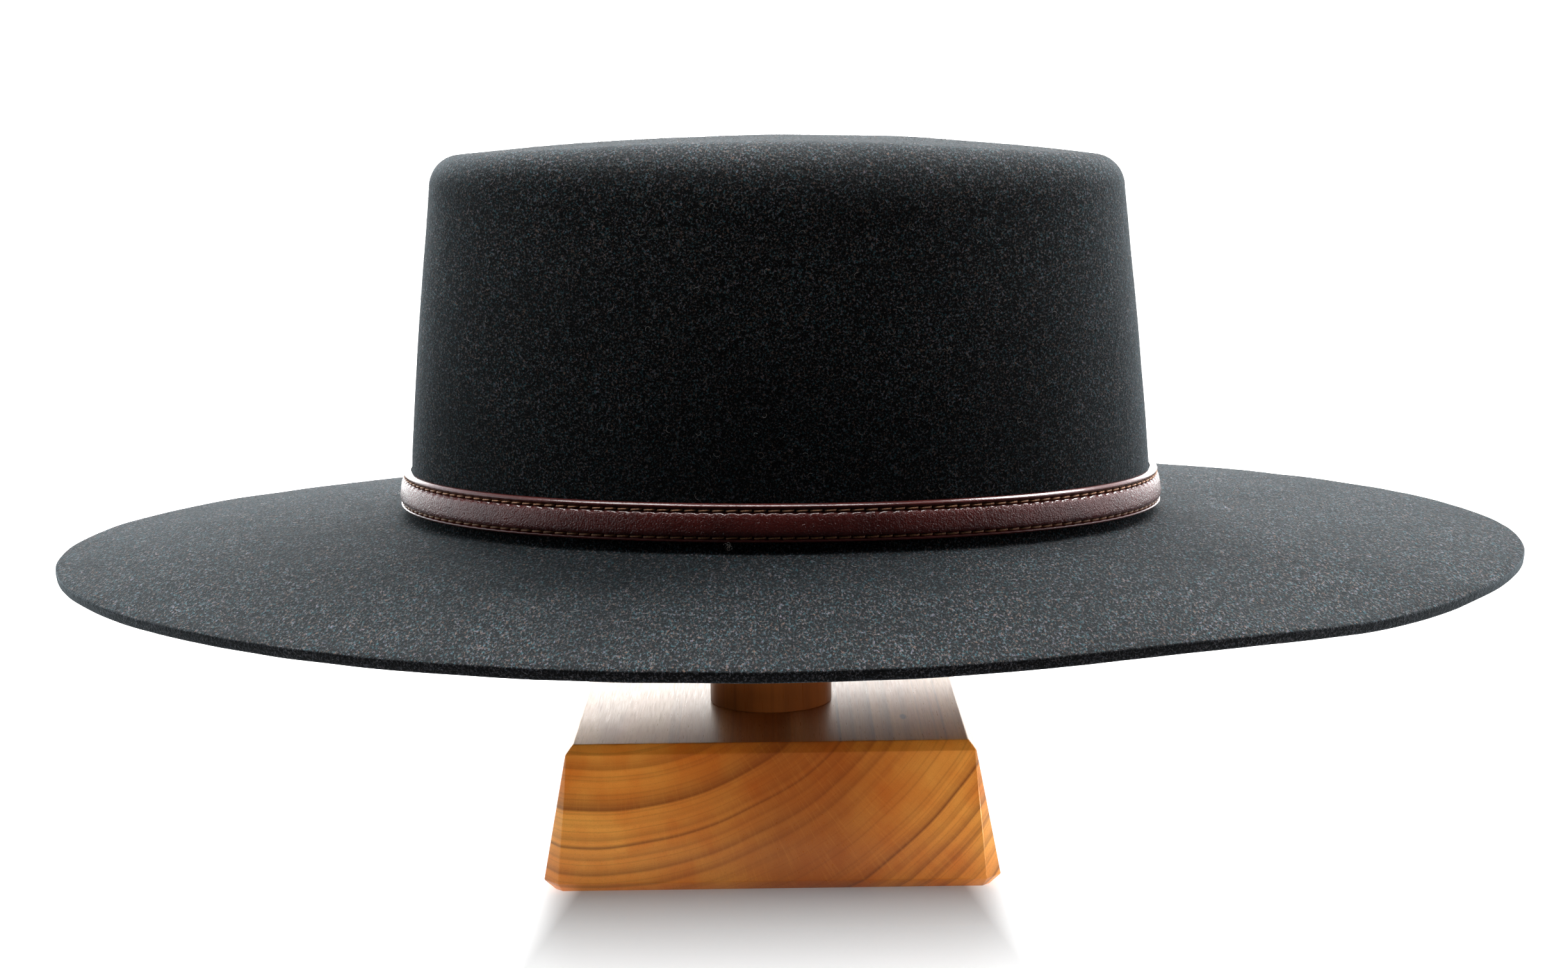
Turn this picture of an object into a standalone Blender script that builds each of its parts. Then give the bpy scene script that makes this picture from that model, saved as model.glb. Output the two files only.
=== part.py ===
"""A wide-brimmed felt bolero hat on a plain wooden display stand.

The hat is one hollow felt: a flat-topped oval crown and a stiff, nearly level brim, with a
leather band round the crown's foot. It hangs by its tip on a round post that stands in a
chamfered block. Metres, +Z up, +X towards the hat's front end. The origin is on the surface
that the block stands on, under the middle of the brim.
"""

from math import atan2, cos, exp, pi, radians, sin

import bmesh
import bpy
from mathutils import Matrix

RING_SEGMENTS = 72
GAP = 0.0003

# The block and the post. Heights are above the surface that the stand is on.
BLOCK_HEIGHT = 0.0390
BLOCK_FOOT_HALF = 0.0612
BLOCK_SHOULDER_HALF = 0.0550
BLOCK_TOP_HALF = 0.0530
BLOCK_DEPTH_LESS = 0.0035
FOOT_CHAMFER = 0.0030
TOP_CHAMFER = 0.0025
CORNER_CUT_AT_FOOT = 0.0040
CORNER_CUT_AT_TOP = 0.0004
POST_RADIUS = 0.0174
POST_EDGE = 0.0020
POST_SEGMENTS = 48
STAND_OFFSET_X = -0.0059

# The felt. Lengths run front to back along X, widths from side to side along Y.
FELT_THICKNESS = 0.0028
BRIM_LENGTH = 0.4066
BRIM_WIDTH = 0.3370
BRIM_EDGE_HEIGHT = 0.0856
BRIM_EDGE_RISE_AT_ENDS = 0.0014
BRIM_CROWNING = 0.0012
CROWN_OFFSET_X = -0.0023
CROWN_FOOT_LENGTH = 0.2092
CROWN_FOOT_WIDTH = 0.1706
CROWN_FOOT_HEIGHT = 0.0948
CROWN_FOOT_RISE_AT_SIDES = 0.0018
CROWN_FOOT_FALL = 0.0007
CROWN_FILLET = 0.0026
CROWN_TAPER = 0.0082
CROWN_BELLY = 0.0005
TIP_EDGE_HEIGHT = 0.1944
TIP_EDGE_RADIUS = 0.0090
TIP_EDGE_RISE_AT_SIDES = 0.0037
TIP_EDGE_RADIUS_AT_SIDES = 0.0200
TIP_DOME = 0.0052
TIP_FALL = 0.0010

# The band lies against the crown, just above the fillet.
BAND_HEIGHT = 0.0099
BAND_THICKNESS = 0.0021
BAND_LIFT = 0.0030
BAND_EDGE_ROUNDING = 0.0005
BAND_PADDING = 0.0004

# Gentle waves in the brim's edge: where each lies round the hat, its height and its spread.
BRIM_WAVES = (
    {"angle": -115.0, "height": -0.0006, "spread": 35.0},
    {"angle": -64.0, "height": 0.0012, "spread": 12.0},
    {"angle": -44.0, "height": -0.0010, "spread": 11.0},
    {"angle": 50.0, "height": 0.0008, "spread": 35.0},
    {"angle": 140.0, "height": -0.0002, "spread": 35.0},
)


def clear_scene():
    for obj in list(bpy.data.objects):
        bpy.data.objects.remove(obj, do_unlink=True)


def finish_material(name, colour, roughness, metallic=0.0):
    material = bpy.data.materials.new(name)
    material.use_nodes = True
    shader = material.node_tree.nodes["Principled BSDF"]
    shader.inputs["Base Color"].default_value = (*colour, 1.0)
    shader.inputs["Roughness"].default_value = roughness
    shader.inputs["Metallic"].default_value = metallic
    return material


def add_object(name, bm, material):
    mesh = bpy.data.meshes.new(name)
    bm.to_mesh(mesh)
    bm.free()
    mesh.materials.append(material)
    mesh.shade_smooth()
    mesh.set_sharp_from_angle(angle=radians(35.0))
    obj = bpy.data.objects.new(name, mesh)
    bpy.context.collection.objects.link(obj)
    return obj


def loft(bm, sections, side_count):
    """Draws the first section as a ring, then extrudes it to each next section in turn.

    A section is a function that takes a corner's angle and returns its place.
    Returns the edges of the first ring and of the last.
    """
    ring = bmesh.ops.create_circle(bm, segments=side_count, radius=1.0)["verts"]
    angles = [atan2(vert.co.y, vert.co.x) for vert in ring]
    for vert, angle in zip(ring, angles):
        vert.co = sections[0](angle)
    first_edges = list({edge for vert in ring for edge in vert.link_edges})
    edges = first_edges
    for section in sections[1:]:
        angle_at = {tuple(vert.co): angle for vert, angle in zip(ring, angles)}
        made = bmesh.ops.extrude_edge_only(bm, edges=edges)["geom"]
        ring = [item for item in made if isinstance(item, bmesh.types.BMVert)]
        edges = [item for item in made if isinstance(item, bmesh.types.BMEdge)]
        angles = [angle_at[tuple(vert.co)] for vert in ring]
        for vert, angle in zip(ring, angles):
            vert.co = section(angle)
    return first_edges, edges


def oval(half_length, half_width, height, offset_x=CROWN_OFFSET_X):
    """A section on an oval, whose height is a function of the angle."""

    def place(angle):
        return (offset_x + half_length * cos(angle), half_width * sin(angle), height(angle))

    return place


def crown_foot_height(angle):
    """The crown's foot is a little higher at the hat's sides and lower at its front end."""
    rise = CROWN_FOOT_RISE_AT_SIDES * sin(angle) ** 2
    return CROWN_FOOT_HEIGHT + rise - CROWN_FOOT_FALL * cos(angle)


def brim_edge_height(angle):
    height = BRIM_EDGE_HEIGHT + BRIM_EDGE_RISE_AT_ENDS * cos(angle) ** 2
    for wave in BRIM_WAVES:
        turn = (angle - radians(wave["angle"]) + pi) % (2 * pi) - pi
        height += wave["height"] * exp(-((turn / radians(wave["spread"])) ** 2))
    return height


def crown_inset(rise):
    """How far the crown's side has drawn in at this height above the crown's foot."""
    share = rise / (TIP_EDGE_HEIGHT - TIP_EDGE_RADIUS - CROWN_FOOT_HEIGHT)
    return CROWN_TAPER * share - CROWN_BELLY * sin(pi * share)


def brim_section(share):
    """The brim's upper face, from its edge at share 0 to the crown's fillet at share 1."""
    inner_length = CROWN_FOOT_LENGTH / 2 + CROWN_FILLET
    inner_width = CROWN_FOOT_WIDTH / 2 + CROWN_FILLET

    def height(angle):
        level = brim_edge_height(angle) * (1 - share) + crown_foot_height(angle) * share
        return level + BRIM_CROWNING * sin(pi * share)

    half_length = BRIM_LENGTH / 2 * (1 - share) + inner_length * share
    half_width = BRIM_WIDTH / 2 * (1 - share) + inner_width * share
    return oval(half_length, half_width, height, CROWN_OFFSET_X * share)


def side_section(outset, rise):
    """A ring on the crown's side, which turns from the foot's line to the tip's going up."""
    share = rise / (TIP_EDGE_HEIGHT - CROWN_FOOT_HEIGHT)

    def height(angle):
        tip_edge = TIP_EDGE_HEIGHT - TIP_FALL * cos(angle)
        return crown_foot_height(angle) * (1 - share) + tip_edge * share

    return oval(CROWN_FOOT_LENGTH / 2 + outset, CROWN_FOOT_WIDTH / 2 + outset, height)


def tip_edge_radius(angle):
    """The tip's edge is rounded more softly along the hat's sides than at its ends."""
    return TIP_EDGE_RADIUS * cos(angle) ** 2 + TIP_EDGE_RADIUS_AT_SIDES * sin(angle) ** 2


def upper_section(share, turn=0.0):
    """A ring a share of the way up the crown's side, or from its top a turn over the edge."""

    def place(angle):
        radius = tip_edge_radius(angle)
        edge_height = TIP_EDGE_HEIGHT + TIP_EDGE_RISE_AT_SIDES * sin(angle) ** 2
        side_top = edge_height - radius - CROWN_FOOT_HEIGHT
        rise = CROWN_FILLET + (side_top - CROWN_FILLET) * share
        inset = crown_inset(rise) + radius * (1 - cos(turn))
        x, y, z = side_section(-inset, rise)(angle)
        return (x, y, z + radius * sin(turn))

    return place


def tip_section(share):
    """A ring on the domed tip: the share of the way from its middle to its rounded edge."""
    tip_edge = upper_section(1.0, pi / 2)
    top = TIP_EDGE_HEIGHT + TIP_DOME

    def place(angle):
        x, y, z = tip_edge(angle)
        return (CROWN_OFFSET_X + (x - CROWN_OFFSET_X) * share, y * share, top - (top - z) * share**2)

    return place


def felt_sections():
    """The felt's outer face, from the brim's edge up over the crown to the last tip ring."""
    sections = [brim_section(share) for share in (0.0, 0.15, 0.4, 0.7, 0.9, 1.0)]
    for turn in (30.0, 60.0, 90.0):
        out = CROWN_FILLET * (1 - sin(radians(turn)))
        rise = CROWN_FILLET * (1 - cos(radians(turn)))
        sections.append(side_section(out - crown_inset(rise), rise))
    sections += [upper_section(share) for share in (0.25, 0.5, 0.75, 1.0)]
    sections += [upper_section(1.0, radians(turn)) for turn in (18.0, 36.0, 54.0, 70.0, 84.0)]
    return sections + [tip_section(share) for share in (0.85, 0.55, 0.25)]


def make_felt():
    """Crown and brim, blocked from one felt: an outer skin given its thickness inwards."""
    bm = bmesh.new()
    _, tip_edges = loft(bm, felt_sections(), RING_SEGMENTS)
    cap = bmesh.ops.extrude_edge_only(bm, edges=tip_edges)["geom"]
    cap_ring = [item for item in cap if isinstance(item, bmesh.types.BMVert)]
    tip_centre = (CROWN_OFFSET_X, 0.0, TIP_EDGE_HEIGHT + TIP_DOME)
    bmesh.ops.pointmerge(bm, verts=cap_ring, merge_co=tip_centre)
    bmesh.ops.recalc_face_normals(bm, faces=bm.faces)
    tip_faces = [face for face in bm.faces if face.calc_center_median().z > TIP_EDGE_HEIGHT]
    if tip_faces[0].normal.z < 0:
        bmesh.ops.reverse_faces(bm, faces=bm.faces)
    felt = add_object("hat_felt", bm, finish_material("black_felt", (0.016, 0.019, 0.022), 0.95))
    wall = felt.modifiers.new("wall", "SOLIDIFY")
    wall.thickness = FELT_THICKNESS
    wall.offset = -1.0
    wall.use_even_offset = True
    return felt


def band_sections():
    """Rings round the band's cross-section: up its padded outer face and down its back."""
    top = BAND_LIFT + BAND_HEIGHT
    corner = BAND_EDGE_ROUNDING
    face = GAP + BAND_THICKNESS
    outline = (
        (GAP, BAND_LIFT),
        (face - corner, BAND_LIFT),
        (face, BAND_LIFT + corner),
        (face + BAND_PADDING, BAND_LIFT + BAND_HEIGHT / 2),
        (face, top - corner),
        (face - corner, top),
        (GAP, top),
    )
    return [side_section(out - crown_inset(rise), rise) for out, rise in outline]


def make_band():
    """A stitched leather strap round the crown's foot, closed into a ring."""
    bm = bmesh.new()
    first_edges, last_edges = loft(bm, band_sections(), RING_SEGMENTS)
    bmesh.ops.bridge_loops(bm, edges=first_edges + last_edges)
    bmesh.ops.recalc_face_normals(bm, faces=bm.faces)
    return add_object("hat_band", bm, finish_material("leather", (0.050, 0.011, 0.009), 0.28))


def block_section(half, cut, height):
    """An eight-cornered ring: a square whose corners are cut off."""
    corners = (
        (half, half - cut),
        (half - cut, half),
        (cut - half, half),
        (-half, half - cut),
        (-half, cut - half),
        (cut - half, -half),
        (half - cut, -half),
        (half, cut - half),
    )

    def place(angle):
        x, y = corners[round(angle / (pi / 4)) % 8]
        y -= BLOCK_DEPTH_LESS if y > 0 else -BLOCK_DEPTH_LESS
        return (x + STAND_OFFSET_X, y, height)

    return place


def make_block():
    """The stand's block, with sides that lean in and chamfers along all its edges."""
    shoulder = BLOCK_HEIGHT - TOP_CHAMFER
    sections = [
        block_section(BLOCK_FOOT_HALF - FOOT_CHAMFER, CORNER_CUT_AT_FOOT / 2, 0.0),
        block_section(BLOCK_FOOT_HALF, CORNER_CUT_AT_FOOT, FOOT_CHAMFER),
        block_section(BLOCK_SHOULDER_HALF, CORNER_CUT_AT_TOP, shoulder),
        block_section(BLOCK_TOP_HALF, CORNER_CUT_AT_TOP, BLOCK_HEIGHT),
    ]
    bm = bmesh.new()
    foot_edges, top_edges = loft(bm, sections, 8)
    bmesh.ops.contextual_create(bm, geom=foot_edges)
    bmesh.ops.contextual_create(bm, geom=top_edges)
    bmesh.ops.recalc_face_normals(bm, faces=bm.faces)
    return add_object("stand_block", bm, finish_material("lacquered_wood", (0.33, 0.11, 0.022), 0.3))


def make_post():
    """A plain turned post, from the block up to the underside of the hat's tip."""
    foot = BLOCK_HEIGHT + GAP
    tip_length = CROWN_FOOT_LENGTH / 2 - CROWN_TAPER - TIP_EDGE_RADIUS
    reach = (POST_RADIUS - POST_EDGE + abs(STAND_OFFSET_X - CROWN_OFFSET_X)) / tip_length
    top = TIP_EDGE_HEIGHT + TIP_DOME * (1 - reach**2) - FELT_THICKNESS - GAP
    bm = bmesh.new()
    middle = Matrix.Translation((STAND_OFFSET_X, 0.0, (foot + top) / 2))
    bmesh.ops.create_cone(
        bm,
        cap_ends=True,
        segments=POST_SEGMENTS,
        radius1=POST_RADIUS,
        radius2=POST_RADIUS,
        depth=top - foot,
        matrix=middle,
    )
    rim = [edge for edge in bm.edges if all(vert.co.z > top - GAP for vert in edge.verts)]
    bmesh.ops.bevel(
        bm, geom=rim, offset=POST_EDGE, segments=3, profile=0.5, affect="EDGES", material=-1
    )
    bmesh.ops.recalc_face_normals(bm, faces=bm.faces)
    return add_object("stand_post", bm, finish_material("post_wood", (0.20, 0.065, 0.018), 0.35))


clear_scene()
make_felt()
make_band()
make_block()
make_post()
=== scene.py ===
"""Looks of a black felt bolero hat that hangs on the round post of a wooden display stand."""

import random
from math import cos, exp, pi, radians, sin

import bmesh
import bpy
import numpy as np
from mathutils import Matrix, Vector, noise


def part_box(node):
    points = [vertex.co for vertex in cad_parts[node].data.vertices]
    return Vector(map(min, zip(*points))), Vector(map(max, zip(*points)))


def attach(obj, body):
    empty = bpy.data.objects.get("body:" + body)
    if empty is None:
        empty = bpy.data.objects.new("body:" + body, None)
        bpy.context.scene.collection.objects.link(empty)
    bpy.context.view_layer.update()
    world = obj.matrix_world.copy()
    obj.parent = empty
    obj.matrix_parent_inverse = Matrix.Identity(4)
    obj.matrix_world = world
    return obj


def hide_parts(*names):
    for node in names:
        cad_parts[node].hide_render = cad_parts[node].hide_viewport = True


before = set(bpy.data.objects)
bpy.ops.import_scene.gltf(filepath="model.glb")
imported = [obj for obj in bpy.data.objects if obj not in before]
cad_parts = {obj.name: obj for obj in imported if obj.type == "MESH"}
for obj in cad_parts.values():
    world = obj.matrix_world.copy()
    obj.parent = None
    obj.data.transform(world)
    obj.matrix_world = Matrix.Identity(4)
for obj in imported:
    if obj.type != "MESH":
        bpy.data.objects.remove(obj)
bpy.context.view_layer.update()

# The stand's block is sawn from one piece of softwood with its end grain to the front. Its sides
# lean in, every edge is chamfered, and it is stained orange-brown and lacquered. It only stands
# on the table; the post is fixed in the middle of its top.
block_low, block_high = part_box("stand_block")
BLOCK_MIDDLE = (block_low + block_high) / 2
BLOCK_HEIGHT = block_high.z
FOOT_HALF = (block_high - block_low) / 2
SHOULDER_IN = 0.0062
TOP_IN = 0.0082
FOOT_CHAMFER = 0.0030
TOP_CHAMFER = 0.0025
CORNER_CUT_AT_FOOT = 0.0040
CORNER_CUT_AT_TOP = 0.0004
WORN_EDGE = 0.00025
PITH_X = -0.051
PITH_HEIGHT = 0.102
STAIN_LIGHT = (0.90, 0.370, 0.060)
STAIN_MIDDLE = (0.72, 0.185, 0.018)
STAIN_DARK = (0.16, 0.030, 0.005)
# The block is painted darker and redder towards its middle: painted shade, where the table in front
# of it lies in the hat's shadow.
MIDDLE_SHADE_COLOUR = (0.25, 0.045, 0.005)
MIDDLE_SHADE_X = 0.004
PIN_KNOT = (0.0308, -0.0232, 0.0390)
KNOT_RADIUS = (0.0006, 0.0011)
MIDDLE_SHADE_REACH = (0.008, 0.050)
RING_WANDER = (0.0045, 0.0045, 0.0045)
FIRST_YEAR_WIDTH = 0.006
YEAR_LINE_WIDTH = 0.0007
LATE_WOOD_CURVE = 2.0
PORE_DEPTH = 0.00002
LACQUER_WAVE_DEPTH = 0.00010
# The years in the block's end grain: how far from the pith each one ends, in metres, and how dark
# its late wood gets there.
BLOCK_YEARS = (
    {"radius": 0.0630, "dark": 0.40},
    {"radius": 0.0700, "dark": 0.70},
    {"radius": 0.0725, "dark": 0.45},
    {"radius": 0.0806, "dark": 0.95},
    {"radius": 0.0845, "dark": 0.40},
    {"radius": 0.0878, "dark": 0.65},
    {"radius": 0.0897, "dark": 0.85},
    {"radius": 0.0926, "dark": 0.60},
    {"radius": 0.0964, "dark": 0.80},
    {"radius": 0.1002, "dark": 0.75},
    {"radius": 0.1042, "dark": 0.50},
    {"radius": 0.1118, "dark": 0.35},
    {"radius": 0.1172, "dark": 0.50},
    {"radius": 0.1214, "dark": 0.95},
    {"radius": 0.1252, "dark": 0.65},
    {"radius": 0.1290, "dark": 0.90},
    {"radius": 0.1331, "dark": 0.80},
    {"radius": 0.1368, "dark": 0.75},
    {"radius": 0.1402, "dark": 0.60},
    {"radius": 0.1441, "dark": 0.85},
    {"radius": 0.1478, "dark": 0.60},
    {"radius": 0.1522, "dark": 0.80},
)


def fill_socket(tree, socket, value):
    """Links another node's output to a socket, or sets the socket to a plain value."""
    if isinstance(value, bpy.types.NodeSocket):
        tree.links.new(value, socket)
    else:
        socket.default_value = value


def add_node(tree, kind, sockets=(), **options):
    """Adds a node, sets its options and fills its sockets."""
    node = tree.nodes.new(kind)
    for name, value in options.items():
        setattr(node, name, value)
    for name, value in dict(sockets).items():
        fill_socket(tree, node.inputs[name], value)
    return node


def calculate(tree, operation, first, second=0.0):
    sockets = {0: first, 1: second}
    return add_node(tree, "ShaderNodeMath", sockets, operation=operation).outputs[0]


def calculate_vector(tree, operation, first, second=(0.0, 0.0, 0.0)):
    sockets = {0: first, 1: second}
    return add_node(tree, "ShaderNodeVectorMath", sockets, operation=operation)


def mix_colours(tree, share, first, second, blend="MIX"):
    """Mixes two colours. They and the share are each a plain value or a node's output."""
    node = add_node(tree, "ShaderNodeMix", data_type="RGBA", blend_type=blend)
    wanted = {"Factor_Float": share, "A_Color": first, "B_Color": second}
    for socket in node.inputs:
        if socket.identifier in wanted:
            value = wanted[socket.identifier]
            if isinstance(value, tuple):
                value = (*value, 1.0)
            fill_socket(tree, socket, value)
    return next(out for out in node.outputs if out.identifier == "Result_Color")


def blotches(tree, place, scale, detail=2.0, roughness=0.5, distortion=0.0):
    """A noise whose blotches are about one over the scale across, in metres."""
    sockets = {
        "Vector": place,
        "Scale": scale,
        "Detail": detail,
        "Roughness": roughness,
        "Distortion": distortion,
    }
    return add_node(tree, "ShaderNodeTexNoise", sockets)


def between(tree, value, low, high, to_low=0.0, to_high=1.0):
    """Stretches the part of a value between low and high to run from to_low to to_high."""
    sockets = {"Value": value, "From Min": low, "From Max": high, "To Min": to_low, "To Max": to_high}
    return add_node(tree, "ShaderNodeMapRange", sockets).outputs["Result"]


def raise_relief(tree, height, depth, below=None):
    """Bumps a surface by a height of 0 to 1 times a depth in metres, on top of another bump."""
    sockets = {"Strength": 1.0, "Distance": depth, "Height": height}
    if below is not None:
        sockets["Normal"] = below
    return add_node(tree, "ShaderNodeBump", sockets).outputs["Normal"]


def start_material(name, **finish):
    """A material with its shader's own plain values set. Returns it, its tree and its shader."""
    material = bpy.data.materials.new(name)
    material.use_nodes = True
    shader = material.node_tree.nodes["Principled BSDF"]
    for socket, value in finish.items():
        shader.inputs[socket.replace("_", " ")].default_value = value
    return material, material.node_tree, shader


def stained_wood(name, pith, along, years, light, middle, dark, middle_shade_x=1.0, knot=(0.0, 0.0, -1.0)):
    """Lacquered softwood whose yearly rings run round a pith line, along the Y or the Z axis.

    Around middle_shade_x it is painted darker and redder: painted shade, where the table in front
    lies in the hat's shadow.
    """
    material, tree, shader = start_material(
        name,
        Metallic=0.05,
        Specular_IOR_Level=0.65,
        Specular_Tint=(1.0, 0.82, 0.48, 1.0),
        Coat_Weight=0.10,
        Coat_Roughness=0.16,
        Coat_IOR=1.5,
    )
    across = (1.0, 0.0, 1.0) if along == "Y" else (1.0, 1.0, 0.0)
    slow = (1.0, 0.16, 1.0) if along == "Y" else (1.0, 1.0, 0.16)
    place = add_node(tree, "ShaderNodeTexCoord").outputs["Object"]
    stretched = calculate_vector(tree, "MULTIPLY", place, slow).outputs[0]
    drift = blotches(tree, stretched, 20.0, 2.0, 0.4).outputs["Color"]
    drift = calculate_vector(tree, "SUBTRACT", drift, (0.5, 0.5, 0.5)).outputs[0]
    drift = calculate_vector(tree, "MULTIPLY", drift, RING_WANDER).outputs[0]
    from_pith = calculate_vector(tree, "SUBTRACT", place, pith).outputs[0]
    from_pith = calculate_vector(tree, "ADD", from_pith, drift).outputs[0]
    spoke = calculate_vector(tree, "MULTIPLY", from_pith, across).outputs[0]
    radius = calculate_vector(tree, "LENGTH", spoke).outputs["Value"]

    # Within a year the wood darkens faster and faster, and then ends in a sharp line.
    # One colour ramp has room for 32 stops, so the years are shared out over two.
    start, half = years[0]["radius"] - FIRST_YEAR_WIDTH, (len(years) + 1) // 2
    late = 0.0
    for some_years in (years[:half], years[half:]):
        end = some_years[-1]["radius"] + 0.001
        ramp = add_node(tree, "ShaderNodeValToRGB", {"Fac": between(tree, radius, start, end)})
        ramp.color_ramp.elements.remove(ramp.color_ramp.elements[1])
        ramp.color_ramp.elements[0].color = (0.0, 0.0, 0.0, 1.0)
        for year in some_years:
            for step, shade in ((0.0, year["dark"]), (YEAR_LINE_WIDTH, 0.0)):
                place_in_ramp = (year["radius"] + step - start) / (end - start)
                ramp.color_ramp.elements.new(place_in_ramp).color = (shade, shade, shade, 1.0)
        late = calculate(tree, "MAXIMUM", ramp.outputs["Color"], late)
        start = some_years[-1]["radius"] + YEAR_LINE_WIDTH
    lines = calculate(tree, "POWER", late, LATE_WOOD_CURVE)
    ring_noise = {"W": radius, "Scale": 1100.0, "Detail": 3.0}
    fine_rings = add_node(tree, "ShaderNodeTexNoise", ring_noise, noise_dimensions="1D").outputs[0]
    lines = calculate(tree, "MULTIPLY", lines, between(tree, fine_rings, 0.25, 0.6, 0.7, 1.0))
    slower = tuple(share * share for share in slow)
    stretched_fine = calculate_vector(tree, "MULTIPLY", place, slower).outputs[0]
    pores = blotches(tree, stretched_fine, 3000.0, 3.0, 0.7).outputs[0]
    cloud = blotches(tree, stretched, 70.0, 3.0, 0.55).outputs[0]

    axes = add_node(tree, "ShaderNodeSeparateXYZ", {"Vector": spoke})
    side_out = "Z" if along == "Y" else "Y"
    turn = calculate(tree, "ARCTAN2", axes.outputs["X"], axes.outputs[side_out])
    outward = calculate(tree, "MULTIPLY", radius, 0.7)
    ray_place = add_node(tree, "ShaderNodeCombineXYZ", {"X": turn, "Y": outward})
    rays = blotches(tree, ray_place.outputs[0], 170.0, 2.0, 0.6).outputs[0]

    colour = mix_colours(tree, between(tree, cloud, 0.30, 0.70), light, middle)
    from_middle = add_node(tree, "ShaderNodeSeparateXYZ", {"Vector": place}).outputs["X"]
    from_middle = calculate(tree, "ABSOLUTE", calculate(tree, "SUBTRACT", from_middle, middle_shade_x))
    # Painted shade: darker and redder towards the block's middle, where the table in front lies in
    # the hat's shadow.
    middle_shade_share = between(tree, from_middle, *MIDDLE_SHADE_REACH, 0.85, 0.0)
    colour = mix_colours(tree, middle_shade_share, colour, MIDDLE_SHADE_COLOUR)
    colour = mix_colours(tree, lines, colour, dark)
    colour = mix_colours(tree, between(tree, fine_rings, 0.52, 0.72, 0.0, 0.22), colour, dark)
    colour = mix_colours(tree, between(tree, rays, 0.52, 0.75, 0.0, 0.10), colour, light)
    colour = mix_colours(tree, between(tree, pores, 0.52, 0.75, 0.0, 0.25), colour, dark)
    from_knot = calculate_vector(tree, "SUBTRACT", place, knot).outputs[0]
    from_knot = calculate_vector(tree, "MULTIPLY", from_knot, (1.0, 0.3, 1.0)).outputs[0]
    from_knot = calculate_vector(tree, "LENGTH", from_knot).outputs["Value"]
    colour = mix_colours(tree, between(tree, from_knot, *KNOT_RADIUS, 0.85, 0.0), colour, dark)
    fill_socket(tree, shader.inputs["Base Color"], colour)
    fill_socket(tree, shader.inputs["Roughness"], between(tree, pores, 0.3, 0.7, 0.26, 0.40))
    fill_socket(tree, shader.inputs["Normal"], raise_relief(tree, pores, PORE_DEPTH))
    fill_socket(tree, shader.inputs["Coat Normal"], raise_relief(tree, cloud, LACQUER_WAVE_DEPTH))
    return material


def loft(bm, sections, side_count):
    """Draws a tube through the sections: a grid rolled up, with its seam welded and its ends open.

    A section is a function that takes a corner's angle and returns its place. A grid comes in a fixed
    order and an extrusion doesn't, so a seeded choice among its faces is the same in each run.
    Returns the rings, each as a list of corners with their angles, and each ring's edges.
    """
    grid = bmesh.ops.create_grid(bm, x_segments=side_count, y_segments=len(sections) - 1, size=1.0)
    rings, seam = [], {}
    for number, section in enumerate(sections):
        row = grid["verts"][number * (side_count + 1) : (number + 1) * (side_count + 1)]
        ring = [(vert, pi / 2 + 2 * pi * count / side_count) for count, vert in enumerate(row[:-1])]
        for vert, angle in ring:
            vert.co = section(angle)
        row[-1].co = row[0].co
        seam[row[-1]] = row[0]
        rings.append(ring)
    bmesh.ops.weld_verts(bm, targetmap=seam)
    loops = []
    for ring in rings:
        corners = [vert for vert, _ in ring]
        loops.append([bm.edges.get(pair) for pair in zip(corners, corners[1:] + corners[:1])])
    return rings, loops


def finish_piece(name, bm, materials, stands_for=()):
    """Turns a bmesh into a piece that rides with the stand and hat, which are one body."""
    mesh = bpy.data.meshes.new(name)
    bm.to_mesh(mesh)
    bm.free()
    for material in materials:
        mesh.materials.append(material)
    mesh.shade_smooth()
    mesh.set_sharp_from_angle(angle=radians(50.0))
    piece = bpy.data.objects.new(name, mesh)
    bpy.context.collection.objects.link(piece)
    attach(piece, "root")
    if stands_for:
        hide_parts(*stands_for)
    return piece


def block_section(inset, cut, height):
    """An eight-cornered ring: the block's outline at one height, with its corners cut off."""
    half_x, half_y = FOOT_HALF.x - inset, FOOT_HALF.y - inset

    def place(angle):
        corner = round(angle / (pi / 4)) % 8
        side_x = 1 if corner in (0, 1, 6, 7) else -1
        side_y = 1 if corner in (0, 1, 2, 3) else -1
        x, y = (half_x, half_y - cut) if corner in (0, 3, 4, 7) else (half_x - cut, half_y)
        return (BLOCK_MIDDLE.x + side_x * x, BLOCK_MIDDLE.y + side_y * y, height)

    return place


bm = bmesh.new()
rings, loops = loft(
    bm,
    [
        block_section(FOOT_CHAMFER, CORNER_CUT_AT_FOOT / 2, 0.0),
        block_section(0.0, CORNER_CUT_AT_FOOT, FOOT_CHAMFER),
        block_section(SHOULDER_IN, CORNER_CUT_AT_TOP, BLOCK_HEIGHT - TOP_CHAMFER),
        block_section(TOP_IN, CORNER_CUT_AT_TOP, BLOCK_HEIGHT),
    ],
    8,
)
bmesh.ops.contextual_create(bm, geom=loops[0])
bmesh.ops.contextual_create(bm, geom=loops[-1])
bmesh.ops.recalc_face_normals(bm, faces=bm.faces)
bmesh.ops.bevel(
    bm, geom=bm.edges[:], offset=WORN_EDGE, segments=3, profile=0.5, affect="EDGES", material=-1
)
block_wood = stained_wood(
    "orange_lacquered_wood",
    (PITH_X, 0.0, PITH_HEIGHT),
    "Y",
    BLOCK_YEARS,
    STAIN_LIGHT,
    STAIN_MIDDLE,
    STAIN_DARK,
    MIDDLE_SHADE_X,
    PIN_KNOT,
)
finish_piece("display_block", bm, [block_wood], ["stand_block"])

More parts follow.
